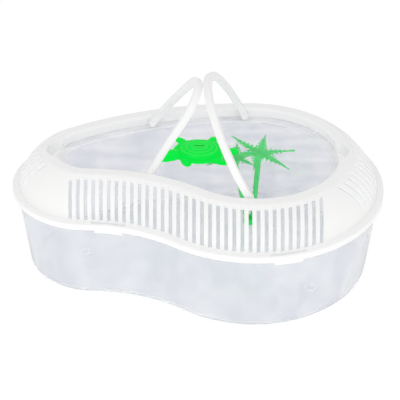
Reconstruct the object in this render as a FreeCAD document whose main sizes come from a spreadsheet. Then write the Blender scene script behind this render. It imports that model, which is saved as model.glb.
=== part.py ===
"""Kidney-shaped turtle habitat: clear tub, vented lid with a window, two bail handles,
a turtle-shaped feeding door and a twin palm. Millimetres, +Z up, origin under the middle of the tub."""
import FreeCAD, Part
import math
import os
from types import SimpleNamespace

import Sketcher
from FreeCAD import Placement, Rotation, Vector

doc = FreeCAD.newDocument("turtle_habitat")
sheet = doc.addObject("Spreadsheet::Sheet", "Sizes")

driving_sizes = {
    # plan outline: a large and a small lobe, a bowed back and a hollow front
    "overall_length": 400,
    "large_lobe_radius": 140.7,
    "small_lobe_radius": 88.4,
    "small_lobe_offset": 4.5,
    "back_radius": 396.6,
    "waist_radius": 158,
    # tub
    "tub_height": 97.2,
    "tub_wall": 2.2,
    "tub_top_inset": 4.8,
    "tub_foot_inset": 12.6,
    "tub_rim_height": 2.4,
    "tub_corner_height": 8,
    "tub_corner_radius": 9,
    "tub_inner_radius": 7,
    "floor_thickness": 2.2,
    "floor_lift": 1.4,
    "foot_ring_inset": 18.5,
    "foot_ring_width": 3,
    "floor_lip_width": 12,
    "floor_lip_overlap": 3,
    "dimple_radius": 5.5,
    "dimple_depth": 0.6,
    "dimple_left_x": 127,
    "dimple_left_y": 2,
    "dimple_right_x": 121.5,
    "dimple_right_y": 64.5,
    # lid section, from the skirt to the window seat
    "lid_wall": 2,
    "lid_rest_gap": 0.3,
    "lid_side_gap": 0.3,
    "skirt_depth": 5,
    "skirt_round": 1.5,
    "ledge_width": 6.7,
    "dome_run": 29.9,
    "dome_rise": 38.1,
    "dome_radius": 60,
    "dome_foot_shift": 2.1,
    "ridge_run": 2,
    "ridge_drop": 1.3,
    "ridge_radius": 8,
    "crest_width": 13.2,
    "crest_round": 2.8,
    "recess_depth": 12.6,
    "seat_width": 7.5,
    "scoop_depth": 10.9,
    "scoop_radius": 19,
    "scoop_draft": 1,
    # vent slots
    "slot_width": 3.8,
    "slot_pitch": 7.95,
    "slot_left_margin": 69.4,
    "slot_right_margin": 75,
    "slot_foot_gap": 0.4,
    "slot_top_gap": 3,
    "front_slot_back_y": 50,
    "end_slot_reach": 88.4,
    "end_slot_pitch": 8.7,
    "right_slot_count": 13,
    "right_slot_first_y": 68,
    "left_slot_count": 7,
    "left_slot_first_y": 25,
    # snap tabs, their windows in the ledge and the nibs that hold the window panel
    "tab_left_x": 91.6,
    "tab_right_x": 90.3,
    "tab_width": 28.5,
    "tab_drop": 3,
    "tab_overlap": 2.5,
    "tab_window_width": 36,
    "tab_window_inset": 2.9,
    "tab_window_depth": 2.4,
    "nib_x": 32,
    "nib_width": 7,
    "nib_height": 1.4,
    "nib_reach": 1.4,
    # window panel and the turtle-shaped door that swivels on it
    "panel_thickness": 3,
    "panel_gap": 0.3,
    "panel_seat_gap": 0.25,
    "feed_hole_length": 40,
    "feed_hole_width": 33,
    "door_x": 1.5,
    "door_y": 11,
    "door_gap": 0.3,
    "door_plate": 2,
    "door_wall": 1.8,
    "shell_length": 56,
    "shell_width": 48,
    "shell_rise": 6,
    "shell_rim": 3.2,
    "head_length": 34,
    "head_width": 20,
    "head_rise": 4,
    "head_x": 31.5,
    "head_y": 8.5,
    "head_angle": 25,
    "tail_length": 27,
    "tail_width": 14,
    "tail_x": 29.5,
    "tail_y": 1.4,
    "tail_angle": 8,
    "flipper_length": 22,
    "flipper_width": 10.5,
    "back_flipper_y": 22,
    "front_flipper_y": 19,
    "fore_back_x": 18.5,
    "fore_back_angle": 125,
    "fore_front_x": 14,
    "fore_front_angle": 105,
    "hind_back_x": 14,
    "hind_back_angle": 75,
    "hind_front_x": 20.5,
    "hind_front_angle": 145,
    "door_pin_x": 36,
    "door_pin_y": 2,
    "door_pin_radius": 2.4,
    "door_catch_radius": 3.3,
    "door_catch_height": 1.4,
    "running_clearance": 0.05,
    "cut_margin": 2,
    # handles
    "handle_width": 8,
    "handle_thickness": 7.6,
    "handle_edge_round": 1.6,
    "handle_groove_width": 2.6,
    "handle_groove_depth": 0.9,
    "handle_side_gap": 1.4,
    "handle_tip_gap": 0.4,
    "handle_meet_x": 5.6,
    "left_pivot_x": 50,
    "right_pivot_x": 52.8,
    "pivot_drop": 5,
    "eye_radius": 4,
    "eye_inner_reach": 4.2,
    "eye_outer_reach": 2.6,
    "handle_pin_radius": 2.2,
    "handle_pin_length": 4.6,
    "pivot_bore_length": 12,
    # twin palm
    "palm_x": 60.5,
    "palm_y": 61,
    "palm_base_gap": 0.2,
    "palm_base_radius": 7.4,
    "palm_base_top_radius": 6.6,
    "palm_base_height": 6,
    "palm_socket_spacing": 7,
    "palm_peg_radius": 1.8,
    "palm_peg_length": 4,
    "trunk_radius": 3.2,
    "trunk_notch": 0.6,
    "trunk_ring_count": 14,
    "tall_crown_x": 69,
    "tall_crown_height": 97,
    "short_crown_x": 42,
    "short_crown_height": 91,
    "crown_hub_radius": 4.4,
    "crown_hub_height": 5,
    "frond_width": 13,
    "frond_thickness": 1.2,
    "frond_teeth": 12,
    "frond_droop": 7,
    "frond_tooth_lean": 3.4,
    "frond_tooth_root": 0.24,
    "frond_swell": 0.8,
}

# compass heading and length of each leaf, seen from above
tall_fronds = {9: 40, 77: 39.5, 128: 47.5, 187: 33, 258: 38, 314: 46}
short_fronds = {20: 24, 84: 33, 140: 36, 205: 36, 262: 31, 322: 26}

for row, (alias, number) in enumerate(driving_sizes.items(), start=1):
    sheet.set(f"A{row}", alias)
    sheet.set(f"B{row}", str(number))
    sheet.setAlias(f"B{row}", alias)
doc.recompute()


class Dim:
    """A size that carries its number and the sheet expression that drives it."""

    def __init__(self, value, text):
        self.value = float(value)
        self.text = text

    def __add__(self, other):
        other = as_dim(other)
        return Dim(self.value + other.value, f"({self.text} + {other.text})")

    def __sub__(self, other):
        other = as_dim(other)
        return Dim(self.value - other.value, f"({self.text} - {other.text})")

    def __mul__(self, factor):
        factor = as_dim(factor)
        return Dim(self.value * factor.value, f"({self.text} * {factor.text})")

    def __truediv__(self, divisor):
        divisor = as_dim(divisor)
        return Dim(self.value / divisor.value, f"({self.text} / {divisor.text})")

    def __neg__(self):
        return Dim(-self.value, f"(0 - {self.text})")

    def floor(self):
        return Dim(math.floor(self.value), f"floor({self.text})")


def as_dim(number):
    return number if isinstance(number, Dim) else Dim(number, repr(float(number)))


size = SimpleNamespace(**{alias: Dim(sheet.get(alias), "Sizes." + alias) for alias in driving_sizes})

# places worked out from the driving sizes
half_length = size.overall_length / 2
large_x = half_length - size.large_lobe_radius
small_x = size.small_lobe_radius - half_length
small_y = size.small_lobe_offset
ledge_under = size.tub_height + size.lid_rest_gap
ledge_top = ledge_under + size.lid_wall
skirt_bottom = ledge_under - size.skirt_depth
crest_top = ledge_top + size.dome_rise
crest_start = size.ledge_width + size.dome_run
recess_inset = crest_start + size.crest_width
seat_top = crest_top - size.recess_depth
panel_bottom = seat_top + size.panel_seat_gap
panel_top = panel_bottom + size.panel_thickness
floor_top = size.floor_lift + size.floor_thickness
pivot_z = crest_top - size.pivot_drop
handle_inset = recess_inset + size.handle_side_gap + size.handle_width / 2
pivot_x = {-1: -size.left_pivot_x, 1: size.right_pivot_x}
handle_reach = {
    -1: half_length - handle_inset - size.left_pivot_x,
    1: half_length - handle_inset - size.right_pivot_x,
}
handle_room = {
    -1: size.left_pivot_x + size.handle_meet_x,
    1: size.right_pivot_x - size.handle_meet_x,
}
door_bottom = panel_top + size.door_gap
door_pin_x = size.door_x + size.door_pin_x
door_pin_y = size.door_y + size.door_pin_y
palm_base_top = floor_top + size.palm_base_gap + size.palm_base_height
full_turn = 2 * math.pi
on_axis = 1e-9


def touching_centre(gap_to_small, gap_to_large):
    """Centre of the arc in front of both lobes that lies at these distances from their centres."""
    small = Vector(small_x.value, small_y.value, 0)
    large = Vector(large_x.value, 0, 0)
    span = large - small
    along = (span.Length ** 2 + gap_to_small ** 2 - gap_to_large ** 2) / (2 * span.Length)
    aside = math.sqrt(gap_to_small ** 2 - along ** 2)
    unit = span / span.Length
    return small + unit * along + Vector(unit.y, -unit.x, 0) * aside


back_centre = touching_centre(
    size.back_radius.value - size.small_lobe_radius.value,
    size.back_radius.value - size.large_lobe_radius.value,
)
waist_centre = touching_centre(
    size.waist_radius.value + size.small_lobe_radius.value,
    size.waist_radius.value + size.large_lobe_radius.value,
)
small_centre = Vector(small_x.value, small_y.value, 0)
large_centre = Vector(large_x.value, 0, 0)


def heading(vector):
    return math.atan2(vector.y, vector.x)


def outline_arcs(inset):
    """Arcs of the outline, a steady distance inside the rim, as (centre, radius, start, end).

    They run anticlockwise from the hollow; the large lobe is split on the X axis."""
    large = size.large_lobe_radius - inset
    to_back = heading(large_centre - back_centre)
    back_to_small = heading(small_centre - back_centre)
    return [
        (large_centre, large, heading(waist_centre - large_centre), 0),
        (large_centre, large, 0, to_back),
        (back_centre, size.back_radius - inset, to_back, back_to_small),
        (small_centre, size.small_lobe_radius - inset, back_to_small,
         heading(waist_centre - small_centre)),
        (waist_centre, size.waist_radius + inset, heading(large_centre - waist_centre),
         heading(small_centre - waist_centre)),
    ]


def arc_geometry(centre, radius, start, end):
    while end <= start:
        end += full_turn
    return Part.ArcOfCircle(Part.Circle(centre, Vector(0, 0, 1), radius), start, end)


def bind(target, prop, dim):
    target.setExpression(prop, dim.text)


def new_body(label):
    body = doc.addObject("PartDesign::Body", label)
    body.Label = label
    return body


def new_sketch(body, name, role, offset=None):
    """Sketch on one of the body's origin planes, moved along the plane's normal."""
    sketch = body.newObject("Sketcher::SketchObject", name)
    plane = [feature for feature in body.Origin.OriginFeatures if feature.Role == role][0]
    sketch.AttachmentSupport = (plane, [""])
    sketch.MapMode = "FlatFace"
    if offset is not None:
        sketch.AttachmentOffset = Placement(Vector(0, 0, offset.value), Rotation())
        bind(sketch, "AttachmentOffset.Base.z", offset)
    return sketch


def fix(sketch, kind, *points, dim):
    index = sketch.addConstraint(Sketcher.Constraint(kind, *points, dim.value))
    sketch.renameConstraint(index, f"size{index}")
    bind(sketch, f"Constraints.size{index}", dim)


def fix_point(sketch, geometry, position, x, y):
    """Hold a point at signed distances from the sketch's origin."""
    for kind, axis, dim in (("DistanceX", -2, x), ("DistanceY", -1, y)):
        if abs(dim.value) < on_axis:
            sketch.addConstraint(Sketcher.Constraint("PointOnObject", geometry, position, axis))
        elif dim.value < 0:
            fix(sketch, kind, geometry, position, -1, 1, dim=-dim)
        else:
            fix(sketch, kind, -1, 1, geometry, position, dim=dim)


def add_outline(sketch, inset):
    """Closed lobed outline, a steady distance inside the rim."""
    arcs = outline_arcs(inset)
    front, rear, bow, lobe, hollow = sketch.addGeometry(
        [arc_geometry(centre, radius.value, start, end) for centre, radius, start, end in arcs], False)
    sketch.addConstraint([
        Sketcher.Constraint("Coincident", front, 2, rear, 1),
        Sketcher.Constraint("Coincident", front, 3, rear, 3),
        Sketcher.Constraint("PointOnObject", front, 2, -1),
        Sketcher.Constraint("PointOnObject", rear, 3, -1),
        Sketcher.Constraint("Tangent", rear, 2, bow, 1),
        Sketcher.Constraint("Tangent", bow, 2, lobe, 1),
        Sketcher.Constraint("Tangent", lobe, 2, hollow, 2),
        Sketcher.Constraint("Tangent", hollow, 1, front, 1),
    ])
    for edge, arc in list(zip((front, rear, bow, lobe, hollow), arcs))[1:]:
        fix(sketch, "Radius", edge, dim=arc[1])
    fix(sketch, "DistanceX", -1, 1, rear, 3, dim=large_x)
    fix_point(sketch, lobe, 3, small_x, small_y)


def add_loop(sketch, corners):
    """Closed loop through (x, y) or (x, y, radius) corners, run anticlockwise.

    A radius makes the edge that leaves its corner an arc: positive bulges outwards, negative inwards."""
    edges = []
    for corner, following in zip(corners, corners[1:] + corners[:1]):
        start = Vector(corner[0].value, corner[1].value, 0)
        end = Vector(following[0].value, following[1].value, 0)
        if len(corner) == 2:
            edges.append((sketch.addGeometry(Part.LineSegment(start, end), False), 1, 2, None))
            continue
        chord = end - start
        radius = abs(corner[2].value)
        side = math.copysign(1, corner[2].value)
        rise = math.sqrt(max(radius ** 2 - chord.Length ** 2 / 4, 0))
        centre = (start + end) / 2 + Vector(-chord.y, chord.x, 0) / chord.Length * rise * side
        if side > 0:
            arc = arc_geometry(centre, radius, heading(start - centre), heading(end - centre))
            edges.append((sketch.addGeometry(arc, False), 1, 2, corner[2]))
        else:
            arc = arc_geometry(centre, radius, heading(end - centre), heading(start - centre))
            edges.append((sketch.addGeometry(arc, False), 2, 1, -corner[2]))
    for edge, following, corner in zip(edges, edges[1:] + edges[:1], corners):
        sketch.addConstraint(
            Sketcher.Constraint("Coincident", edge[0], edge[2], following[0], following[1]))
        fix_point(sketch, edge[0], edge[1], corner[0], corner[1])
        if edge[3] is not None:
            fix(sketch, "Radius", edge[0], dim=edge[3])


def pad(body, sketch, length, reverse=False):
    feature = body.newObject("PartDesign::Pad", sketch.Name + "_pad")
    feature.Profile = sketch
    feature.Reversed = reverse
    bind(feature, "Length", length)
    return feature


def sweep_round_outline(body, section_corners):
    """Sweep a section, given as (inset, height) corners at the right end, round the whole outline."""
    path = new_sketch(body, body.Name + "_path", "XY_Plane")
    add_outline(path, as_dim(0))
    section = new_sketch(body, body.Name + "_section", "XZ_Plane")
    add_loop(section, [(half_length - corner[0], *corner[1:]) for corner in section_corners])
    doc.recompute()
    pipe = body.newObject("PartDesign::AdditivePipe", body.Name + "_wall")
    pipe.Profile = section
    pipe.Spine = (path, [f"Edge{index}" for index in range(1, len(path.Shape.Edges) + 1)])
    return pipe


def ring(label, outer_inset, inner_inset, bottom, height):
    """Upright band between two insets of the outline."""
    body = new_body(label)
    sketch = new_sketch(body, label + "_plan", "XY_Plane", bottom)
    add_outline(sketch, outer_inset)
    add_outline(sketch, inner_inset)
    pad(body, sketch, height)
    return body


def place(target, x, y, z):
    for axis, dim in zip("xyz", (x, y, z)):
        bind(target, f"Placement.Base.{axis}", as_dim(dim))


def box(label, x, y, z, length, width, height):
    """Block from its low corner."""
    block = doc.addObject("Part::Box", label)
    for prop, dim in (("Length", length), ("Width", width), ("Height", height)):
        bind(block, prop, as_dim(dim))
    place(block, x, y, z)
    return block


def cylinder(label, x, y, z, radius, height, axis=Vector(0, 0, 1)):
    rod = doc.addObject("Part::Cylinder", label)
    bind(rod, "Radius", radius)
    bind(rod, "Height", as_dim(height))
    rod.Placement = Placement(Vector(0, 0, 0), Rotation(Vector(0, 0, 1), axis))
    place(rod, x, y, z)
    return rod


def cone(label, x, y, z, low_radius, high_radius, height):
    form = doc.addObject("Part::Cone", label)
    bind(form, "Radius1", low_radius)
    bind(form, "Radius2", high_radius)
    bind(form, "Height", height)
    place(form, x, y, z)
    return form


def turn_in_plan(target, turn):
    """Turn about +Z, before the piece is put in its place."""
    target.Placement = Placement(Vector(0, 0, 0), Rotation(Vector(0, 0, 1), turn.value))
    bind(target, "Placement.Rotation.Angle", turn)


def ellipse_plate(label, x, y, z, length, width, height, turn=None):
    """Upright elliptical plate about a point, its long way turned from +X."""
    curve = doc.addObject("Part::Ellipse", label + "_curve")
    bind(curve, "MajorRadius", length / 2)
    bind(curve, "MinorRadius", width / 2)
    if turn is not None:
        turn_in_plan(curve, turn)
    place(curve, x, y, z)
    plate = doc.addObject("Part::Extrusion", label)
    plate.Base = curve
    plate.DirMode = "Custom"
    plate.Dir = Vector(0, 0, 1)
    plate.Solid = True
    bind(plate, "LengthFwd", as_dim(height))
    return plate


def dome(label, x, y, z, length, width, rise, turn=None):
    """Upper half of an ellipsoid about a point, its long way turned from +X."""
    form = doc.addObject("Part::Ellipsoid", label)
    bind(form, "Radius1", rise)
    bind(form, "Radius2", length / 2)
    bind(form, "Radius3", width / 2)
    form.Angle1 = 0
    if turn is not None:
        turn_in_plan(form, turn)
    place(form, x, y, z)
    return form


def fuse(label, shapes):
    joined = doc.addObject("Part::MultiFuse", label)
    joined.Shapes = shapes
    joined.Label = label
    return joined


def cut(label, base, tool):
    result = doc.addObject("Part::Cut", label)
    result.Base = base
    result.Tool = tool
    result.Label = label
    return result


def common(label, first, second):
    result = doc.addObject("Part::Common", label)
    result.Base = first
    result.Tool = second
    return result


def slab_row(label, x, y, length, width, pitch, count, along):
    """Row of tall upright slabs, from the low corner of the first, repeated along one sketch axis."""
    body = new_body(label)
    body.AllowCompound = True
    sketch = new_sketch(body, label + "_plan", "XY_Plane", ledge_under)
    add_loop(sketch, [(x, y), (x + length, y), (x + length, y + width), (x, y + width)])
    first = pad(body, sketch, crest_top - ledge_under)
    pattern = body.newObject("PartDesign::LinearPattern", label + "_row")
    pattern.Originals = [first]
    pattern.Direction = (sketch, [along])
    pattern.Mode = "Spacing"
    bind(pattern, "Offset", pitch)
    bind(pattern, "Occurrences", count)
    body.Tip = pattern
    return body


def cross_pair(label, left_x, right_x, width):
    """Two slabs right across the part, left and right of the middle."""
    return fuse(label + "_slabs", [
        box(f"{label}_{name}_slab", x - width / 2, -half_length, 0, width, size.overall_length, crest_top)
        for name, x in (("left", -left_x), ("right", right_x))
    ])


def make_tub():
    """Drafted wall with a rolled rim and a foot ring, swept round the outline and closed by a floor."""
    body = new_body("tub_shell")
    rim_inset = size.lid_wall + size.lid_side_gap
    rim_under = size.tub_height - size.tub_rim_height
    inner_foot = size.tub_foot_inset + size.tub_wall
    floor_edge = inner_foot + size.tub_inner_radius + size.floor_lip_width
    ring_inner = size.foot_ring_inset + size.foot_ring_width
    sweep_round_outline(body, [
        (rim_inset, rim_under),
        (rim_inset, size.tub_height),
        (size.tub_top_inset + size.tub_wall, size.tub_height),
        (inner_foot, floor_top + size.tub_inner_radius, -size.tub_inner_radius),
        (inner_foot + size.tub_inner_radius, floor_top),
        (floor_edge, floor_top),
        (floor_edge, size.floor_lift),
        (ring_inner, size.floor_lift),
        (ring_inner, as_dim(0)),
        (size.foot_ring_inset, as_dim(0)),
        (size.foot_ring_inset, size.floor_lift, size.tub_corner_radius),
        (size.tub_foot_inset, size.tub_corner_height),
        (size.tub_top_inset, rim_under),
    ])
    floor = new_sketch(body, "tub_floor", "XY_Plane", size.floor_lift)
    add_outline(floor, floor_edge - size.floor_lip_overlap)
    pad(body, floor, size.floor_thickness)
    dimple_floor = floor_top - size.dimple_depth
    dimples = fuse("floor_dimples", [
        cylinder("left_dimple", -size.dimple_left_x, size.dimple_left_y, dimple_floor,
                 size.dimple_radius, size.dimple_depth),
        cylinder("right_dimple", size.dimple_right_x, -size.dimple_right_y, dimple_floor,
                 size.dimple_radius, size.dimple_depth),
    ])
    return cut("tub", body, dimples)


def make_lid():
    """Domed rim with vent slots, snap tabs, panel nibs, finger scoops and the handles' bores."""
    shell = new_body("lid_shell")
    recess_wall = recess_inset - size.lid_wall
    sweep_round_outline(shell, [
        (as_dim(0), skirt_bottom),
        (as_dim(0), ledge_top - size.skirt_round, size.skirt_round),
        (size.skirt_round, ledge_top),
        (size.ledge_width, ledge_top, size.dome_radius),
        (crest_start - size.ridge_run, crest_top - size.ridge_drop, size.ridge_radius),
        (crest_start + size.ridge_run, crest_top),
        (recess_inset - size.crest_round, crest_top, size.crest_round),
        (recess_inset, crest_top - size.crest_round),
        (recess_inset, seat_top),
        (recess_inset + size.seat_width, seat_top),
        (recess_inset + size.seat_width, seat_top - size.lid_wall),
        (recess_wall, seat_top - size.lid_wall),
        (recess_wall, crest_top - size.lid_wall),
        (crest_start + size.ridge_run / 2, crest_top - size.lid_wall,
         size.lid_wall - size.dome_radius),
        (size.ledge_width + size.dome_foot_shift, ledge_under),
        (size.lid_wall, ledge_under),
        (size.lid_wall, skirt_bottom),
    ])
    tabs = common(
        "tabs",
        ring("tab_band", as_dim(0), size.lid_wall, skirt_bottom - size.tab_drop,
             size.tab_drop + size.tab_overlap),
        cross_pair("tab", size.tab_left_x, size.tab_right_x, size.tab_width),
    )
    nibs = common(
        "nibs",
        ring("nib_band", recess_wall, recess_inset + size.nib_reach, panel_top + size.door_gap,
             size.nib_height),
        cross_pair("nib", size.nib_x, size.nib_x, size.nib_width),
    )
    tab_windows = common(
        "tab_windows",
        ring("tab_window_band", size.tab_window_inset, size.tab_window_inset + size.tab_window_depth,
             ledge_under - size.cut_margin, size.lid_wall + size.cut_margin * 2),
        cross_pair("tab_window", size.tab_left_x, size.tab_right_x, size.tab_window_width),
    )
    half_slot = size.slot_width / 2
    front_depth = half_length - size.front_slot_back_y
    slot_run = size.overall_length - size.slot_left_margin - size.slot_right_margin
    slot_count = (slot_run / size.slot_pitch).floor() + 1
    front_slabs = slab_row("front_slabs", size.slot_left_margin - half_length - half_slot, -half_length,
                           size.slot_width, front_depth, size.slot_pitch, slot_count, "H_Axis")
    right_slabs = slab_row("right_slabs", half_length - size.end_slot_reach,
                           -size.right_slot_first_y - half_slot, size.end_slot_reach, size.slot_width,
                           size.end_slot_pitch, size.right_slot_count, "V_Axis")
    left_slabs = slab_row("left_slabs", -half_length, -size.left_slot_first_y - half_slot,
                          size.end_slot_reach, size.slot_width, size.end_slot_pitch,
                          size.left_slot_count, "V_Axis")
    slots = common(
        "vent_slots",
        ring("vent_band", size.ledge_width + size.slot_foot_gap, crest_start - size.slot_top_gap,
             ledge_under, crest_top - ledge_under),
        fuse("vent_slabs", [front_slabs, right_slabs, left_slabs]),
    )
    scoop_walls = common(
        "scoop_walls",
        ring("scoop_band", crest_start, recess_inset, seat_top - size.lid_wall,
             crest_top - seat_top + size.lid_wall / 2),
        scoop_pair("scoop_wall", size.lid_wall, seat_top - size.lid_wall),
    )
    bore_radius = size.handle_pin_radius + size.running_clearance
    bores = []
    for side, name in ((-1, "left"), (1, "right")):
        for foot in handle_feet(side):
            outwards = math.copysign(1, foot)
            bores.append(cylinder(f"{name}_bore_{len(bores)}", pivot_x[side], foot, pivot_z,
                                  bore_radius, size.pivot_bore_length, Vector(0, outwards, 0)))
    solid = fuse("lid_solid", [shell, tabs, nibs, scoop_walls])
    scoops = scoop_pair("scoop", as_dim(0), seat_top)
    return cut("lid_frame", solid, fuse("lid_openings", [slots, tab_windows, scoops] + bores))


def scoop_pair(label, growth, bottom):
    """Drafted finger scoops in the recess wall, one at the end of each lobe."""
    scoop_x = half_length - recess_inset + size.scoop_depth - size.scoop_radius
    radius = size.scoop_radius + growth
    return fuse(label + "_pair", [
        cone(f"{label}_{name}", x, y, bottom, radius - size.scoop_draft, radius,
             crest_top - bottom + size.cut_margin)
        for name, x, y in (("left", -scoop_x, small_y), ("right", scoop_x, as_dim(0)))
    ])


def handle_feet(side):
    """Front and back Y of a handle's feet, where its centre line crosses the pivot axis."""
    feet = []
    for centre, radius, *ends in handle_arcs(side):
        for angle in ends:
            reach = centre.x + radius.value * math.cos(angle) - pivot_x[side].value
            if abs(reach) < on_axis:
                feet.append(centre.y + radius.value * math.sin(angle))
    return min(feet), max(feet)


def handle_fold_angle(side):
    """Turn from folded flat to raised, where the tips of the two handles meet."""
    rounding = size.handle_edge_round.value
    reach = handle_reach[side].value + size.handle_width.value / 2 - rounding
    half_bar = size.handle_thickness.value / 2 - rounding
    room = handle_room[side].value - size.handle_tip_gap.value / 2 - rounding
    lean = math.atan2(half_bar, reach) + math.acos(room / math.hypot(reach, half_bar))
    return 180 - math.degrees(lean)


def handle_arcs(side):
    """Stretches of the recess outline beyond a handle's pivot axis, end to end, folded flat.

    The small lobe is split at its far end, where the left handle's section stands."""
    pivot = pivot_x[side].value
    arcs = outline_arcs(handle_inset)
    stretches = []
    for centre, radius, start, end in arcs[-1:] + arcs[:-1] if side > 0 else arcs:
        crossing = math.acos(max(-1, min(1, (pivot - centre.x) / radius.value)))
        span = (end - start) % full_turn
        splits = [(angle - start) % full_turn for angle in (crossing, -crossing, math.pi)]
        marks = [0] + sorted(split for split in splits if split < span) + [span]
        for low, high in zip(marks, marks[1:]):
            middle_x = centre.x + radius.value * math.cos(start + (low + high) / 2)
            if high - low > on_axis and (middle_x - pivot) * side > 0:
                stretches.append((centre, radius, start + low, start + high))
    return stretches


def round_pad(body, name, radius, start_y, length, outwards):
    """Rod along Y on the body's own Y axis, from one end outwards."""
    sketch = new_sketch(body, name, "XZ_Plane", as_dim(-start_y))
    circle = sketch.addGeometry(Part.Circle(Vector(0, 0, 0), Vector(0, 0, 1), radius.value), False)
    sketch.addConstraint(Sketcher.Constraint("Coincident", circle, 3, -1, 1))
    fix(sketch, "Radius", circle, dim=radius)
    return pad(body, sketch, length, reverse=outwards > 0)


def make_handle(label, side):
    """Bail that follows the recess when folded, built about its pivot axis and then raised."""
    body = new_body(label)
    path = new_sketch(body, label + "_path", "XY_Plane")
    to_pivot = Vector(-pivot_x[side].value, 0, 0)
    for centre, radius, start, end in handle_arcs(side):
        arc = path.addGeometry(arc_geometry(centre + to_pivot, radius.value, start, end), False)
        fix_point(path, arc, 3, as_dim(centre.x + to_pivot.x), as_dim(centre.y))
        fix(path, "Radius", arc, dim=radius)
    half_width = size.handle_width / 2
    half_bar = size.handle_thickness / 2
    half_groove = size.handle_groove_width / 2
    rounding = size.handle_edge_round
    middle = handle_reach[side] * side
    section = new_sketch(body, label + "_section", "XZ_Plane", as_dim(0) if side > 0 else -small_y)
    add_loop(section, [
        (middle - half_width, rounding - half_bar, rounding),
        (middle - half_width + rounding, -half_bar),
        (middle + half_width - rounding, -half_bar, rounding),
        (middle + half_width, rounding - half_bar),
        (middle + half_width, half_bar - rounding, rounding),
        (middle + half_width - rounding, half_bar),
        (middle + half_groove, half_bar),
        (middle + half_groove, half_bar - size.handle_groove_depth),
        (middle - half_groove, half_bar - size.handle_groove_depth),
        (middle - half_groove, half_bar),
        (middle - half_width + rounding, half_bar, rounding),
        (middle - half_width, half_bar - rounding),
    ])
    doc.recompute()
    pipe = body.newObject("PartDesign::AdditivePipe", label + "_bar")
    pipe.Profile = section
    pipe.Spine = (path, [f"Edge{index}" for index in range(1, len(path.Shape.Edges) + 1)])
    for name, foot in zip(("front", "back"), handle_feet(side)):
        outwards = math.copysign(1, foot)
        inner_end = foot - outwards * size.eye_inner_reach.value
        outer_end = foot + outwards * size.eye_outer_reach.value
        round_pad(body, f"{label}_{name}_eye", size.eye_radius, inner_end,
                  size.eye_inner_reach + size.eye_outer_reach, outwards)
        round_pad(body, f"{label}_{name}_pin", size.handle_pin_radius, outer_end,
                  size.handle_pin_length, outwards)
    body.Placement = Placement(Vector(0, 0, 0), Rotation(Vector(0, -side, 0), handle_fold_angle(side)))
    place(body, pivot_x[side], 0, pivot_z)
    return body


def make_panel():
    """Window plate with the feeding opening and the bore that carries the door's pin."""
    plate = new_body("panel_plate")
    sketch = new_sketch(plate, "panel_outline", "XY_Plane", panel_bottom)
    add_outline(sketch, recess_inset + size.panel_gap)
    pad(plate, sketch, size.panel_thickness)
    hole = ellipse_plate("feeding_hole", size.door_x, size.door_y, panel_bottom, size.feed_hole_length,
                         size.feed_hole_width, size.panel_thickness)
    bore = cylinder("door_bore", door_pin_x, door_pin_y, panel_bottom,
                    size.door_pin_radius + size.running_clearance, size.panel_thickness)
    return cut("window_panel", plate, fuse("panel_openings", [hole, bore]))


def make_door():
    """Turtle-shaped cover that swivels on a snap pin in its tail: hollow domed shell, head and flippers."""
    plate_top = door_bottom + size.door_plate
    shell_length = size.shell_length - size.shell_rim * 2
    shell_width = size.shell_width - size.shell_rim * 2
    head = (size.door_x - size.head_x, size.door_y - size.head_y)
    pieces = [
        ellipse_plate("shell_rim", size.door_x, size.door_y, door_bottom, size.shell_length,
                      size.shell_width, size.door_plate),
        dome("shell_dome", size.door_x, size.door_y, plate_top, shell_length, shell_width,
             size.shell_rise),
        ellipse_plate("head_plate", *head, door_bottom, size.head_length, size.head_width,
                      size.door_plate, size.head_angle),
        dome("head_dome", *head, plate_top, size.head_length, size.head_width, size.head_rise,
             size.head_angle),
        ellipse_plate("tail", size.door_x + size.tail_x, size.door_y + size.tail_y, door_bottom,
                      size.tail_length, size.tail_width, size.door_plate, size.tail_angle),
    ]
    flippers = {
        "fore_back": (-size.fore_back_x, size.back_flipper_y, size.fore_back_angle),
        "fore_front": (-size.fore_front_x, -size.front_flipper_y, size.fore_front_angle),
        "hind_back": (size.hind_back_x, size.back_flipper_y, size.hind_back_angle),
        "hind_front": (size.hind_front_x, -size.front_flipper_y, size.hind_front_angle),
    }
    for name, (away, aside, angle) in flippers.items():
        pieces.append(ellipse_plate(name + "_flipper", size.door_x + away, size.door_y + aside, door_bottom,
                                    size.flipper_length, size.flipper_width, size.door_plate, angle))
    catch_top = panel_bottom - size.door_gap
    pieces.append(cylinder("door_pin", door_pin_x, door_pin_y, catch_top, size.door_pin_radius,
                           door_bottom - catch_top + size.door_plate))
    pieces.append(cylinder("door_catch", door_pin_x, door_pin_y, catch_top - size.door_catch_height,
                           size.door_catch_radius, size.door_catch_height))
    hollow = dome("shell_hollow", size.door_x, size.door_y, door_bottom,
                  shell_length - size.door_wall * 2, shell_width - size.door_wall * 2,
                  size.door_plate + size.shell_rise - size.door_wall)
    return cut("feeding_door", fuse("door_solid", pieces), hollow)


def make_palm_base():
    mound = cone("palm_mound", size.palm_x, size.palm_y, floor_top + size.palm_base_gap,
                 size.palm_base_radius, size.palm_base_top_radius, size.palm_base_height)
    sockets = fuse("palm_sockets", [
        cylinder(f"palm_socket_{name}", size.palm_x + size.palm_socket_spacing / 2 * way, size.palm_y,
                 palm_base_top - size.palm_peg_length - size.running_clearance,
                 size.palm_peg_radius + size.running_clearance,
                 size.palm_peg_length + size.running_clearance + size.cut_margin)
        for name, way in (("tall", 1), ("short", -1))
    ])
    return cut("palm_base", mound, sockets)


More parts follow.
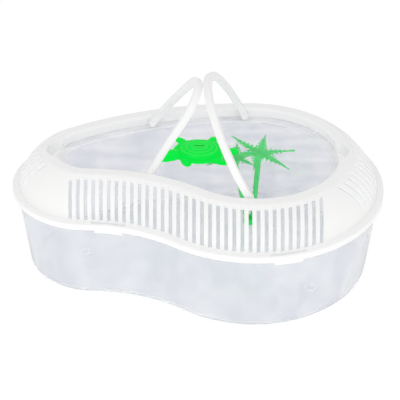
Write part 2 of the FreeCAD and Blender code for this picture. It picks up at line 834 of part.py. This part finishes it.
def make_trunk(label, way, crown_x, crown_height):
    """Ringed stem between its socket in the base and its crown's hub, with a peg at each end."""
    body = new_body(label + "_stem")
    foot_x = size.palm_x + size.palm_socket_spacing / 2 * way
    hub_under = crown_height - size.crown_hub_height
    run = crown_x.value - foot_x.value
    rise = hub_under.value - palm_base_top.value
    tilt = math.atan2(run, rise)
    end_lift = size.trunk_radius.value * math.tan(abs(tilt)) + size.running_clearance.value
    stem_length = math.hypot(run, rise) - 2 * end_lift
    rings = int(size.trunk_ring_count.value)
    ring_height = stem_length / rings
    corners = [(as_dim(0), as_dim(0))]
    for index in range(rings):
        corners.append((size.trunk_radius - size.trunk_notch, as_dim(ring_height * index)))
        corners.append((size.trunk_radius, as_dim(ring_height * (index + 1))))
    corners.append((as_dim(0), as_dim(stem_length)))
    profile = new_sketch(body, label + "_profile", "XZ_Plane")
    add_loop(profile, corners)
    turned = body.newObject("PartDesign::Revolution", label + "_turned")
    turned.Profile = profile
    turned.ReferenceAxis = (profile, ["V_Axis"])
    turned.Angle = 360
    body.Placement = Placement(
        Vector(foot_x.value + end_lift * math.sin(tilt), size.palm_y.value,
               palm_base_top.value + end_lift * math.cos(tilt)),
        Rotation(Vector(0, 1, 0), math.degrees(tilt)),
    )
    peg_rise = as_dim(2 * end_lift)
    return fuse(label, [
        body,
        cylinder(label + "_foot_peg", foot_x, size.palm_y, palm_base_top - size.palm_peg_length,
                 size.palm_peg_radius, size.palm_peg_length + peg_rise),
        cylinder(label + "_top_peg", crown_x, size.palm_y, hub_under - peg_rise,
                 size.palm_peg_radius, size.palm_peg_length + peg_rise),
    ])


def frond_shape(length):
    """Flat serrated leaf along +X, pointed at both ends."""
    teeth = int(size.frond_teeth.value)
    half = size.frond_width.value / 2
    lean = size.frond_tooth_lean.value
    edge = []
    for tooth in range(1, teeth + 1):
        share = tooth / (teeth + 1)
        reach = half * math.sin(math.pi * share ** size.frond_swell.value)
        edge.append(Vector(length * share - lean, reach * size.frond_tooth_root.value, 0))
        edge.append(Vector(length * share, reach, 0))
    mirrored = [Vector(point.x, -point.y, 0) for point in reversed(edge)]
    points = [Vector(0, 0, 0)] + edge + [Vector(length, 0, 0)] + mirrored + [Vector(0, 0, 0)]
    return Part.Face(Part.makePolygon(points)).extrude(Vector(0, 0, size.frond_thickness.value))


def make_fronds(label, fronds, crown_x, crown_height):
    """Star of drooping leaves on a hub that sits over the trunk's peg."""
    hub_under = crown_height.value - size.crown_hub_height.value
    shape = Part.makeCylinder(size.crown_hub_radius.value, size.crown_hub_height.value,
                              Vector(0, 0, -size.crown_hub_height.value))
    leaves = []
    for bearing, length in fronds.items():
        leaf = frond_shape(length)
        leaf.translate(Vector(0, 0, -size.frond_thickness.value))
        leaf.rotate(Vector(0, 0, 0), Vector(0, 1, 0), size.frond_droop.value)
        leaf.rotate(Vector(0, 0, 0), Vector(0, 0, 1), bearing)
        leaves.append(leaf)
    socket = Part.makeCylinder(size.palm_peg_radius.value + size.running_clearance.value,
                               size.palm_peg_length.value + size.running_clearance.value,
                               Vector(0, 0, hub_under - crown_height.value))
    crown = doc.addObject("Part::Feature", label)
    crown.Label = label
    crown.Shape = shape.multiFuse(leaves).cut(socket)
    crown.Placement = Placement(Vector(crown_x.value, size.palm_y.value, crown_height.value), Rotation())
    return crown


nodes = [
    make_tub(),
    make_lid(),
    make_panel(),
    make_door(),
    make_handle("handle_left", -1),
    make_handle("handle_right", 1),
    make_palm_base(),
    make_trunk("tall_palm_trunk", 1, size.tall_crown_x, size.tall_crown_height),
    make_trunk("short_palm_trunk", -1, size.short_crown_x, size.short_crown_height),
    make_fronds("tall_palm_fronds", tall_fronds, size.tall_crown_x, size.tall_crown_height),
    make_fronds("short_palm_fronds", short_fronds, size.short_crown_x, size.short_crown_height),
]
doc.recompute()

failed = [item.Name for item in doc.Objects if {"Invalid", "Error"} & set(item.State)]
if failed:
    raise RuntimeError("objects that failed: " + ", ".join(failed))
for node in nodes:
    if node.Shape.isNull() or not node.Shape.isValid():
        raise RuntimeError(node.Label + " has no valid shape")

for side, name in ((-1, "left"), (1, "right")):
    print(f"{name} handle pivots at x = {pivot_x[side].value:.2f}, z = {pivot_z.value:.2f} "
          f"and folds through {handle_fold_angle(side):.2f} degrees")
print(f"door swivels at x = {door_pin_x.value:.2f}, y = {door_pin_y.value:.2f}")
os.makedirs("parts", exist_ok=True)
for node in nodes:
    node.Shape.exportStep(f"parts/{node.Label}.step")
    print(f"{node.Label}: {len(node.Shape.Solids)} solid, {node.Shape.Volume / 1000:.2f} cm3")
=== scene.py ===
import math

import bpy
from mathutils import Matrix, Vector


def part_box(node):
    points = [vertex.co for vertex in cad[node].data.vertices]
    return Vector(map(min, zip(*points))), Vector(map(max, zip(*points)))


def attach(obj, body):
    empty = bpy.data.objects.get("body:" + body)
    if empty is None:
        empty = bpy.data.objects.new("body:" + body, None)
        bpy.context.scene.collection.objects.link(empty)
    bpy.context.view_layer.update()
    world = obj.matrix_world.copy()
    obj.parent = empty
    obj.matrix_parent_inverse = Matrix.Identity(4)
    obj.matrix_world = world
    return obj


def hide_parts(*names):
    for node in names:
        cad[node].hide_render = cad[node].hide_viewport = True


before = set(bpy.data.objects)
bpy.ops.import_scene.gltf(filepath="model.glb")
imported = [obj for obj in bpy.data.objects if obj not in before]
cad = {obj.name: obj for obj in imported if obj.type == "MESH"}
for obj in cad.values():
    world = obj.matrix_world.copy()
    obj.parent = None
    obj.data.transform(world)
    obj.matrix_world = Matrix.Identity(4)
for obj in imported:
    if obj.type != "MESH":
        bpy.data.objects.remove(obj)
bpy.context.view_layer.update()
print("frame loaded:", len(cad), "nodes")

white = (1.0, 1.0, 1.0, 1.0)


def addNode(tree, kind, inputs=None, **settings):
    node = tree.nodes.new(kind)
    for name, value in settings.items():
        setattr(node, name, value)
    for name, value in (inputs or {}).items():
        node.inputs[name].default_value = value
    return node


def join(tree, source, target):
    tree.links.new(source, target)


def freshMaterial(name):
    material = bpy.data.materials.new(name)
    material.use_nodes = True
    material.node_tree.nodes.clear()
    return material, material.node_tree


def objectCoords(tree):
    return addNode(tree, "ShaderNodeTexCoord").outputs["Object"]


noiseMiddle = 0.5  # a noise texture's values lie round this


def remap(tree, value, low, high, spread=0.2):
    node = addNode(tree, "ShaderNodeMapRange", {
        "From Min": noiseMiddle - spread, "From Max": noiseMiddle + spread, "To Min": low, "To Max": high})
    join(tree, value, node.inputs["Value"])
    return node.outputs["Result"]


def mixColour(tree, fac, first, second):  # first is a colour or a node's output
    node = addNode(tree, "ShaderNodeMix", {"B": (*second, 1)}, data_type="RGBA")
    if isinstance(first, tuple):
        node.inputs["A"].default_value = (*first, 1)
    else:
        join(tree, first, node.inputs["A"])
    join(tree, fac, node.inputs["Factor"])
    return node.outputs["Result"]


skinDetail = {"Flow": 3.0, "Peel": 1.5}  # broad flow marks and a fine orange peel, as on any moulding


def makeMouldSkin():
    group = bpy.data.node_groups.new("mouldSkin", "ShaderNodeTree")
    for name in skinDetail:
        group.interface.new_socket(name + " Scale", in_out="INPUT", socket_type="NodeSocketFloat")
        group.interface.new_socket(name, in_out="OUTPUT", socket_type="NodeSocketFloat")
    given = addNode(group, "NodeGroupInput")
    out = addNode(group, "NodeGroupOutput")
    coords = objectCoords(group)
    for name, detail in skinDetail.items():
        texture = addNode(group, "ShaderNodeTexNoise", {"Detail": detail})
        join(group, coords, texture.inputs["Vector"])
        join(group, given.outputs[name + " Scale"], texture.inputs["Scale"])
        join(group, texture.outputs["Fac"], out.inputs[name])
    return group


mouldSkin = makeMouldSkin()


def addBump(tree, height, strength, distance):
    bump = addNode(tree, "ShaderNodeBump", {"Strength": strength, "Distance": distance})
    join(tree, height, bump.inputs["Height"])
    return bump.outputs["Normal"]


def addRings(tree, colour, rings):  # paler growth rings, fading out before the shell's rim
    mapping = addNode(tree, "ShaderNodeMapping", {
        "Location": rings["centre"], "Scale": rings["scale"]}, vector_type="TEXTURE")
    join(tree, objectCoords(tree), mapping.inputs["Vector"])
    wave = addNode(tree, "ShaderNodeTexWave", {
        "Scale": rings["count"], "Distortion": rings["distortion"],
        "Detail": rings["detail"], "Detail Scale": rings["detailScale"],
    }, wave_type="RINGS", rings_direction="Z")
    join(tree, mapping.outputs["Vector"], wave.inputs["Vector"])
    away = addNode(tree, "ShaderNodeVectorMath", operation="LENGTH")
    join(tree, mapping.outputs["Vector"], away.inputs[0])
    fade = addNode(tree, "ShaderNodeMapRange", {
        "From Min": rings["fadeEnd"], "From Max": rings["fadeStart"], "To Max": rings["strength"]})
    join(tree, away.outputs["Value"], fade.inputs["Value"])
    amount = addNode(tree, "ShaderNodeMath", operation="MULTIPLY")
    join(tree, wave.outputs["Fac"], amount.inputs[0])
    join(tree, fade.outputs["Result"], amount.inputs[1])
    return mixColour(tree, amount.outputs["Value"], colour, rings["colour"])


mouldedIor = 1.49
peelDepth = 0.0004


def solidPlastic(name, look):
    material, tree = freshMaterial(name)
    out = addNode(tree, "ShaderNodeOutputMaterial")
    shader = addNode(tree, "ShaderNodeBsdfPrincipled", {"IOR": mouldedIor, "Specular IOR Level": look["shine"]})
    skin = addNode(tree, "ShaderNodeGroup", {
        "Flow Scale": look["flowScale"], "Peel Scale": look["peelScale"]}, node_tree=mouldSkin)
    colour = mixColour(tree, skin.outputs["Flow"], look["low"], look["high"])
    if "rings" in look:
        colour = addRings(tree, colour, look["rings"])
    if "bounce" in look:  # white neighbours take only a little of the green
        bounced = addNode(tree, "ShaderNodeLightPath").outputs["Is Diffuse Ray"]
        colour = mixColour(tree, bounced, colour, look["bounce"])
    join(tree, colour, shader.inputs["Base Color"])
    join(tree, remap(tree, skin.outputs["Flow"], *look["roughness"]), shader.inputs["Roughness"])
    join(tree, addBump(tree, skin.outputs["Peel"], look["bump"], peelDepth), shader.inputs["Normal"])
    join(tree, shader.outputs["BSDF"], out.inputs["Surface"])
    return material


streakDetail = 4.0
streakDepth = 0.002


def clearPlastic(name, look):
    material, tree = freshMaterial(name)
    out = addNode(tree, "ShaderNodeOutputMaterial")
    shader = addNode(tree, "ShaderNodeBsdfPrincipled", {
        "IOR": look["ior"], "Transmission Weight": look["clear"], "Roughness": look["roughness"]})
    mapping = addNode(tree, "ShaderNodeMapping", {"Scale": look["stretch"]})
    join(tree, objectCoords(tree), mapping.inputs["Vector"])
    # noise streaks in the colour: on the window they are painted wavy reflections, on the tub and dimple rings
    # a faint mottling of the tint
    texture = addNode(tree, "ShaderNodeTexNoise", {"Scale": look["tintAndReflectionScale"], "Detail": streakDetail})
    join(tree, mapping.outputs["Vector"], texture.inputs["Vector"])
    tintAndReflectionStreaks = remap(tree, texture.outputs["Fac"], 0.0, 1.0, look["spread"])
    join(tree, mixColour(tree, tintAndReflectionStreaks, look["low"], look["high"]), shader.inputs["Base Color"])
    join(tree, addBump(tree, tintAndReflectionStreaks, look["bump"], streakDepth), shader.inputs["Normal"])
    lampLight = addNode(tree, "ShaderNodeBsdfTransparent", {"Color": (*look["shade"], 1)})
    path = addNode(tree, "ShaderNodeLightPath")
    surface = shader.outputs["BSDF"]
    for ray in ("Is Shadow Ray", "Is Diffuse Ray"):  # light reaches what stands behind the plastic
        surface = pickShader(tree, path.outputs[ray], surface, lampLight.outputs["BSDF"])
    join(tree, surface, out.inputs["Surface"])
    return material


def pickShader(tree, fac, first, second):
    pick = addNode(tree, "ShaderNodeMixShader")
    join(tree, fac, pick.inputs["Fac"])
    join(tree, first, pick.inputs[1])
    join(tree, second, pick.inputs[2])
    return pick.outputs["Shader"]


def dress(name, material):
    cad[name].material_slots[0].material = material


whiteLook = {
    "low": (0.94, 0.94, 0.935), "high": (0.965, 0.965, 0.96), "roughness": (0.34, 0.44), "shine": 0.3,
    "flowScale": 14.0, "peelScale": 520.0, "bump": 0.12,
}
tubLook = {
    "low": (0.89, 0.905, 0.94), "high": (0.98, 0.985, 1.0), "shade": (0.925, 0.93, 0.945),
    "roughness": 0.03, "clear": 0.77, "ior": 1.45,
    "tintAndReflectionScale": 34.0, "stretch": (1.0, 1.0, 0.5), "spread": 0.12, "bump": 0.06,
}
windowLook = {  # a higher ior puts the window's edge at the critical angle from the photo's side
    "low": (0.895, 0.89, 0.93), "high": (1.0, 0.99, 1.0), "shade": (0.97, 0.975, 0.98),
    "roughness": 0.0, "clear": 0.98, "ior": 1.2,
    # the window's colour streaks are painted wavy reflections
    "tintAndReflectionScale": 22.0, "stretch": (1.0, 3.4, 1.0), "spread": 0.12, "bump": 0.03,
}
palmLook = {
    "low": (0.01, 0.70, 0.10), "high": (0.03, 0.82, 0.16), "roughness": (0.45, 0.6), "shine": 0.2,
    "flowScale": 90.0, "peelScale": 800.0, "bump": 0.2, "bounce": (0.52, 0.66, 0.54),
}
for name in ("lid_frame", "handle_left", "handle_right"):
    dress(name, solidPlastic(name + "_white", whiteLook))
dress("tub", clearPlastic("tub_clear", tubLook))
dress("window_panel", clearPlastic("window_clear", windowLook))
palmGreen = solidPlastic("palm_green", palmLook)
for name in ("palm_base", "tall_palm_trunk", "short_palm_trunk"):
    dress(name, palmGreen)
print("materials made")

levelFace = 0.5  # a face is level where its normal's Z is over this
roundSides = 32


def clearSelection():
    bpy.ops.object.select_all(action="DESELECT")


def activate(piece):
    clearSelection()
    piece.select_set(True)
    bpy.context.view_layer.objects.active = piece


def applyPlace(piece):
    activate(piece)
    bpy.ops.object.transform_apply(location=True, rotation=True, scale=True)


def selectFaces(piece, wanted):
    bpy.ops.object.mode_set(mode="OBJECT")
    for part in (piece.data.vertices, piece.data.edges, piece.data.polygons):
        part.foreach_set("select", [False] * len(part))
    for face in piece.data.polygons:
        face.select = wanted(face)
    bpy.ops.object.mode_set(mode="EDIT")
    bpy.ops.mesh.select_mode(type="FACE")


def selectPoints(piece, wanted):
    bpy.ops.object.mode_set(mode="OBJECT")
    for part in (piece.data.edges, piece.data.polygons):
        part.foreach_set("select", [False] * len(part))
    for point in piece.data.vertices:
        point.select = wanted(point.co)
    bpy.ops.object.mode_set(mode="EDIT")
    bpy.ops.mesh.select_mode(type="VERT")


def applyModifier(piece, kind, **settings):
    activate(piece)
    modifier = piece.modifiers.new(kind.lower(), kind)
    for name, value in settings.items():
        setattr(modifier, name, value)
    bpy.ops.object.modifier_apply(modifier=modifier.name)


def combine(piece, other, operation):  # the exact solver's triangles differ from run to run
    applyModifier(piece, "BOOLEAN", object=other, operation=operation, solver="MANIFOLD")
    bpy.data.objects.remove(other)


def joinPieces(pieces):
    clearSelection()
    for piece in pieces:
        piece.select_set(True)
    bpy.context.view_layer.objects.active = pieces[0]
    bpy.ops.object.join()
    return bpy.context.object


def addCylinder(place, radius, low, high, sides=roundSides):
    clearSelection()
    bpy.ops.mesh.primitive_cylinder_add(vertices=sides, radius=radius, depth=high - low,
                                        location=(*place, (low + high) / 2))
    return bpy.context.object


def setOut(piece, name, material, body, node, angle):
    piece.name = name
    piece.data.name = name
    piece.data.materials.clear()
    piece.data.materials.append(material)
    activate(piece)
    bpy.ops.object.shade_smooth_by_angle(angle=math.radians(angle))
    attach(piece, body)
    if node:
        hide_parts(node)


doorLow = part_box("feeding_door")[0][2]
turtleLook = {
    "centre": (0.0015, 0.011), "length": 0.056, "width": 0.048, "sides": 96, "smooth": 35,
    "plate": 0.002, "rim": 0.0034, "rise": 0.006, "edge": 0.0005, "catch": 0.005,
    "steps": 6, "flatStep": 0.5, "groove": 0.00045, "ridge": 1.6,
    "low": (0.0, 0.94, 0.06), "high": (0.002, 0.99, 0.085), "roughness": (0.3, 0.42), "shine": 0.05,
    "flowScale": 60.0, "peelScale": 900.0, "bump": 0.1, "bounce": (0.56, 0.70, 0.57),
}
ringLook = {
    "count": 1.6, "strength": 0.7, "colour": (0.06, 0.97, 0.13), "depth": 0.02,
    "fadeStart": 0.7, "fadeEnd": 0.86, "distortion": 2.5, "detail": 3.0, "detailScale": 2.0,
}
pinLook = {"place": (0.0375, 0.013), "radius": 0.0024, "catchRadius": 0.0033, "catchHeight": 0.0014}
hollowLook = {"place": turtleLook["centre"], "size": (0.046, 0.038, 0.0124), "turn": 0, "overcut": 0.0001}
flipperSize = (0.022, 0.0105, 0.0042)
limbLooks = {
    "head": {"place": (-0.030, 0.0025), "size": (0.034, 0.020, 0.0116), "turn": 25},
    "tail": {"place": (0.031, 0.0124), "size": (0.027, 0.014, 0.0042), "turn": 8},
    "foreBack": {"place": (-0.017, 0.033), "size": flipperSize, "turn": 125},
    "foreFront": {"place": (-0.0125, -0.008), "size": flipperSize, "turn": 105},
    "hindBack": {"place": (0.0155, 0.033), "size": flipperSize, "turn": 75},
    "hindFront": {"place": (0.022, -0.008), "size": flipperSize, "turn": 145},
}
limbMesh = {"segments": 40, "ring_count": 20, "radius": 0.5}  # one unit across, so the scale is the size


def makeShell(look, bottom):
    shell = addCylinder(look["centre"], look["length"] / 2, bottom, bottom + look["plate"], look["sides"])
    shell.scale.y = look["width"] / look["length"]
    applyPlace(shell)
    selectFaces(shell, lambda face: face.normal.z > levelFace)
    bpy.ops.mesh.inset(thickness=look["edge"], depth=look["edge"] / 2)
    bpy.ops.mesh.inset(thickness=look["rim"] - look["edge"], depth=0.0)
    run = look["width"] / 2 - look["rim"]
    step = run / (look["steps"] + look["flatStep"])
    groove = look["groove"]
    ridge = groove * look["ridge"]
    height = 0.0
    for ring in range(1, look["steps"] + 1):
        fall = 1 - ring * step / run
        target = look["rise"] * math.sqrt(1 - fall * fall)
        bpy.ops.mesh.inset(thickness=groove, depth=-groove)
        bpy.ops.mesh.inset(thickness=groove, depth=ridge)
        bpy.ops.mesh.inset(thickness=step - 2 * groove, depth=target - height - (ridge - groove))
        height = target
    bpy.ops.object.mode_set(mode="OBJECT")
    return shell


def makeLimb(look, bottom):
    clearSelection()
    bpy.ops.mesh.primitive_uv_sphere_add(**limbMesh, location=(*look["place"], bottom))
    limb = bpy.context.object
    limb.scale = look["size"]
    limb.rotation_euler.z = math.radians(look["turn"])
    applyPlace(limb)
    bpy.ops.object.mode_set(mode="EDIT")
    bpy.ops.mesh.select_all(action="SELECT")
    bpy.ops.mesh.bisect(plane_co=(0, 0, bottom), plane_no=(0, 0, 1), clear_inner=True, use_fill=True)
    bpy.ops.object.mode_set(mode="OBJECT")
    return limb


def makeRod(place, radius, low, high):
    rod = addCylinder(place, radius, low, high)
    applyPlace(rod)
    return rod


def makeTurtle(look, pin):
    bottom = doorLow + look["catch"]
    turtle = makeShell(look, bottom)
    for limb in limbLooks.values():
        combine(turtle, makeLimb(limb, bottom), "UNION")
    combine(turtle, makeLimb(hollowLook, bottom - hollowLook["overcut"]), "DIFFERENCE")
    combine(turtle, makeRod(pin["place"], pin["radius"], doorLow + pin["catchHeight"] / 2,
                            bottom + look["plate"] / 2), "UNION")
    combine(turtle, makeRod(pin["place"], pin["catchRadius"], doorLow, doorLow + pin["catchHeight"]), "UNION")
    rings = {"centre": (*look["centre"], bottom),
             "scale": (look["length"] / 2, look["width"] / 2, ringLook["depth"]), **ringLook}
    setOut(turtle, "turtle_door", solidPlastic("turtle_green", {**look, "rings": rings}),
           "feeding_door", "feeding_door", look["smooth"])


makeTurtle(turtleLook, pinLook)
print("turtle made")

frondLook = {  # lengths along the leaf are shares of it, the others are metres
    "teeth": 8, "core": 0.0036, "reach": 0.0074, "lean": 0.07, "swell": 0.16, "root": 0.35, "tip": 0.08,
    "fall": 0.0010, "crease": 0.0008, "thickness": 0.0008, "smooth": 30,
}
hubLook = {
    "radius": 0.0044, "height": 0.005, "edge": 0.0012, "edgeSteps": 4, "socket": 0.0022, "depth": 0.0032,
}
crownLooks = {  # the hub's top, and each leaf's length by its bearing in degrees
    "tall_palm_fronds": {
        "place": (0.069, 0.061, 0.097),
        "leaves": {9: 0.041, 77: 0.042, 128: 0.048, 187: 0.033, 258: 0.036, 314: 0.045},
    },
    "short_palm_fronds": {
        "place": (0.042, 0.061, 0.091),
        "leaves": {20: 0.024, 84: 0.033, 140: 0.036, 205: 0.036, 262: 0.031, 322: 0.026},
    },
}
samePlace = 0.00001
sameColumn = 0.001
columnDigits = 4


def leafShare(look, along):  # the leaf's width there, as a share of its widest
    if along < look["swell"]:
        return look["root"] + (1 - look["root"]) * along / look["swell"]
    return max(look["tip"], (1 - along) / (1 - look["swell"]))


def makeLeaf(look):  # one tooth on each side, repeated, then drawn in and bent column by column
    step = 1 / look["teeth"]
    clearSelection()
    bpy.ops.mesh.primitive_grid_add(x_subdivisions=1, y_subdivisions=2, size=1, location=(step / 2, 0, 0))
    leaf = bpy.context.object
    leaf.scale = (step, look["core"], 1)
    applyPlace(leaf)
    for side in (1, -1):
        selectPoints(leaf, lambda co: abs(co.y * side - look["core"] / 2) < samePlace)
        bpy.ops.mesh.select_mode(type="EDGE")
        bpy.ops.mesh.extrude_edges_indiv()
        bpy.ops.transform.translate(value=(look["lean"], look["reach"] * side, 0))
        bpy.ops.mesh.merge(type="COLLAPSE")
        bpy.ops.object.mode_set(mode="OBJECT")
    applyModifier(leaf, "ARRAY", count=look["teeth"], use_relative_offset=False, use_constant_offset=True,
                  constant_offset_displace=(step, 0, 0), use_merge_vertices=True, merge_threshold=samePlace)
    for along in sorted({round(point.co.x, columnDigits) for point in leaf.data.vertices}):
        selectPoints(leaf, lambda co: abs(co.x - along) < sameColumn)
        bpy.ops.transform.resize(value=(1, leafShare(look, along), 1))
        bpy.ops.transform.translate(value=(0, 0, -look["fall"] * along * along))
    selectPoints(leaf, lambda co: abs(co.y) < samePlace and co.x < 1 - step / 2)
    bpy.ops.transform.translate(value=(0, 0, look["crease"]))
    bpy.ops.object.mode_set(mode="OBJECT")
    applyModifier(leaf, "SOLIDIFY", thickness=look["thickness"], offset=-1)
    return leaf


def makeHub(look, place):
    hub = addCylinder(place.xy, look["radius"], place.z - look["height"], place.z)
    applyPlace(hub)
    selectFaces(hub, lambda face: face.normal.z < -levelFace)
    bpy.ops.mesh.inset(thickness=look["radius"] - look["socket"], depth=0)
    bpy.ops.mesh.inset(thickness=0, depth=-look["depth"])
    selectFaces(hub, lambda face: face.normal.z > levelFace)
    bpy.ops.mesh.bevel(offset=look["edge"], segments=look["edgeSteps"])
    bpy.ops.object.mode_set(mode="OBJECT")
    return hub


def makeCrown(node, look, leaf):
    place = Vector(look["place"])
    pieces = [makeHub(hubLook, place)]
    for bearing, length in look["leaves"].items():
        copy = bpy.data.objects.new("leaf", leaf.data.copy())
        bpy.context.collection.objects.link(copy)
        copy.location = place
        copy.scale.x = length
        copy.rotation_euler.z = math.radians(bearing)
        applyPlace(copy)
        pieces.append(copy)
    setOut(joinPieces(pieces), node.replace("fronds", "crown"), palmGreen, "tub", node,
           frondLook["smooth"])


leaf = makeLeaf(frondLook)
for node, look in crownLooks.items():
    makeCrown(node, look, leaf)
bpy.data.objects.remove(leaf)
print("crowns made")

dimplePlaces = {"leftDimple": (-0.127, 0.002), "rightDimple": (0.1215, -0.0645)}
dimpleLook = {
    "inner": 0.0046, "outer": 0.0064, "rise": 0.0016, "sides": 64, "edge": 0.0005, "edgeSteps": 3,
    "lift": 0.00005, "floorGap": 0.0002, "smooth": 40,
    # near-white and mostly diffuse: a painted glint standing in for light that the clear dimple refracts
    "low": (0.95, 0.955, 0.97), "high": (1.0, 1.0, 1.0), "shade": (0.9, 0.9, 0.92),
    "roughness": 0.08, "clear": 0.1, "ior": 1.45,
    "tintAndReflectionScale": 60.0, "stretch": (1.0, 1.0, 1.0), "spread": 0.2, "bump": 0.05,
}


def makeDimpleRing(look, material, name, place):  # the moulded ring round a dimple of the tub's floor
    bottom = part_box("palm_base")[0][2] - look["floorGap"] + look["lift"]
    ring = addCylinder(place, look["outer"], bottom, bottom + look["rise"], look["sides"])
    applyPlace(ring)
    selectFaces(ring, lambda face: abs(face.normal.z) > levelFace)
    bpy.ops.mesh.inset(thickness=look["outer"] - look["inner"], use_individual=True)
    bpy.ops.mesh.bridge_edge_loops()
    bpy.ops.object.mode_set(mode="OBJECT")
    applyModifier(ring, "BEVEL", width=look["edge"], segments=look["edgeSteps"])
    setOut(ring, name, material, "tub", None, look["smooth"])


# the rings' material paints the dimples' glint in near-white
dimpleGlintWhite = clearPlastic("dimple_glint_white", dimpleLook)
for name, place in dimplePlaces.items():
    makeDimpleRing(dimpleLook, dimpleGlintWhite, name, place)
print("dimple rings made")

stageLook = {  # the floor as the camera, the plastic and the bounced light see it
    "size": 6.0, "drop": 0.0003, "tone": 0.22, "glow": 0.84,
    "innerTone": 0.68, "innerGlow": 0.27, "bounceTone": 0.30, "bounceGlow": 0.92,
}
worldLook = {"back": 0.66, "front": 0.75, "mirrored": 0.8, "seen": 1.0}
lampLooks = {
    "keyLamp": {"place": (-0.5, -1.55, 1.1), "size": 1.0, "power": 2.8},
    "fillLamp": {"place": (0.6, -1.55, 1.0), "size": 1.0, "power": 2.3},
    "topLamp": {"place": (-0.2, -0.1, 1.9), "size": 1.4, "power": 4.0},
}
cameraLook = {
    "target": (0.00255, 0.0217, 0.06), "distance": 1.3, "elevation": 33.5, "lens": 104.95, "sensor": 36.0,
}


def eitherRay(tree, *names):
    path = addNode(tree, "ShaderNodeLightPath")
    total = path.outputs[names[0]]
    for name in names[1:]:
        either = addNode(tree, "ShaderNodeMath", operation="MAXIMUM")
        join(tree, total, either.inputs[0])
        join(tree, path.outputs[name], either.inputs[1])
        total = either.outputs["Value"]
    return total


def litTone(tree, tone, glow):
    diffuse = addNode(tree, "ShaderNodeBsdfDiffuse", {"Color": (tone, tone, tone, 1)})
    emission = addNode(tree, "ShaderNodeEmission", {"Strength": glow})
    both = addNode(tree, "ShaderNodeAddShader")
    join(tree, diffuse.outputs["BSDF"], both.inputs[0])
    join(tree, emission.outputs["Emission"], both.inputs[1])
    return both.outputs["Shader"]


def makeFloor(look):
    clearSelection()
    bpy.ops.mesh.primitive_plane_add(size=look["size"], location=(0, 0, -look["drop"]))
    floor = bpy.context.object
    floor.name = "floor"
    material, tree = freshMaterial("floor_white")
    out = addNode(tree, "ShaderNodeOutputMaterial")
    bounce = litTone(tree, look["bounceTone"], look["bounceGlow"])
    inner = litTone(tree, look["innerTone"], look["innerGlow"])
    through = pickShader(tree, eitherRay(tree, "Is Transmission Ray", "Is Glossy Ray"), bounce, inner)
    seen = litTone(tree, look["tone"], look["glow"])
    join(tree, pickShader(tree, eitherRay(tree, "Is Camera Ray"), through, seen), out.inputs["Surface"])
    floor.data.materials.append(material)


def makeWorld(look):
    world = bpy.data.worlds.new("studio")
    bpy.context.scene.world = world
    world.use_nodes = True
    tree = world.node_tree
    tree.nodes.clear()
    out = addNode(tree, "ShaderNodeOutputWorld")
    soft = addNode(tree, "ShaderNodeBackground", {"Color": white})
    mirrored = addNode(tree, "ShaderNodeBackground", {"Color": white, "Strength": look["mirrored"]})
    seen = addNode(tree, "ShaderNodeBackground", {"Color": white, "Strength": look["seen"]})
    turn = addNode(tree, "ShaderNodeSeparateXYZ")
    join(tree, addNode(tree, "ShaderNodeTexCoord").outputs["Generated"], turn.inputs["Vector"])
    level = addNode(tree, "ShaderNodeMapRange", {
        "From Min": 1.0, "From Max": -1.0, "To Min": look["back"], "To Max": look["front"]})
    join(tree, turn.outputs["Y"], level.inputs["Value"])
    join(tree, level.outputs["Result"], soft.inputs["Strength"])
    around = pickShader(tree, eitherRay(tree, "Is Glossy Ray", "Is Transmission Ray"),
                        soft.outputs["Background"], mirrored.outputs["Background"])
    shown = pickShader(tree, eitherRay(tree, "Is Camera Ray"), around, seen.outputs["Background"])
    join(tree, shown, out.inputs["Surface"])


def makeLamp(name, look, target):
    lamp = bpy.data.lights.new(name, "AREA")
    lamp.energy = look["power"]
    lamp.size = look["size"]
    holder = bpy.data.objects.new(name, lamp)
    holder.location = look["place"]
    holder.rotation_euler = (target - holder.location).to_track_quat("-Z", "Y").to_euler()
    bpy.context.scene.collection.objects.link(holder)


def makeCamera(look):
    lens = bpy.data.cameras.new("photoCamera")
    lens.sensor_width = look["sensor"]
    lens.lens = look["lens"]
    camera = bpy.data.objects.new("photoCamera", lens)
    rise = math.radians(look["elevation"])
    back = Vector((0, -math.cos(rise), math.sin(rise)))
    camera.location = Vector(look["target"]) + back * look["distance"]
    camera.rotation_euler = (math.pi / 2 - rise, 0, 0)
    bpy.context.scene.collection.objects.link(camera)
    bpy.context.scene.camera = camera


makeFloor(stageLook)
makeWorld(worldLook)
for name, look in lampLooks.items():
    makeLamp(name, look, Vector(cameraLook["target"]))
makeCamera(cameraLook)
bpy.context.scene.view_settings.view_transform = "Standard"
print("stage, lamps and camera made")
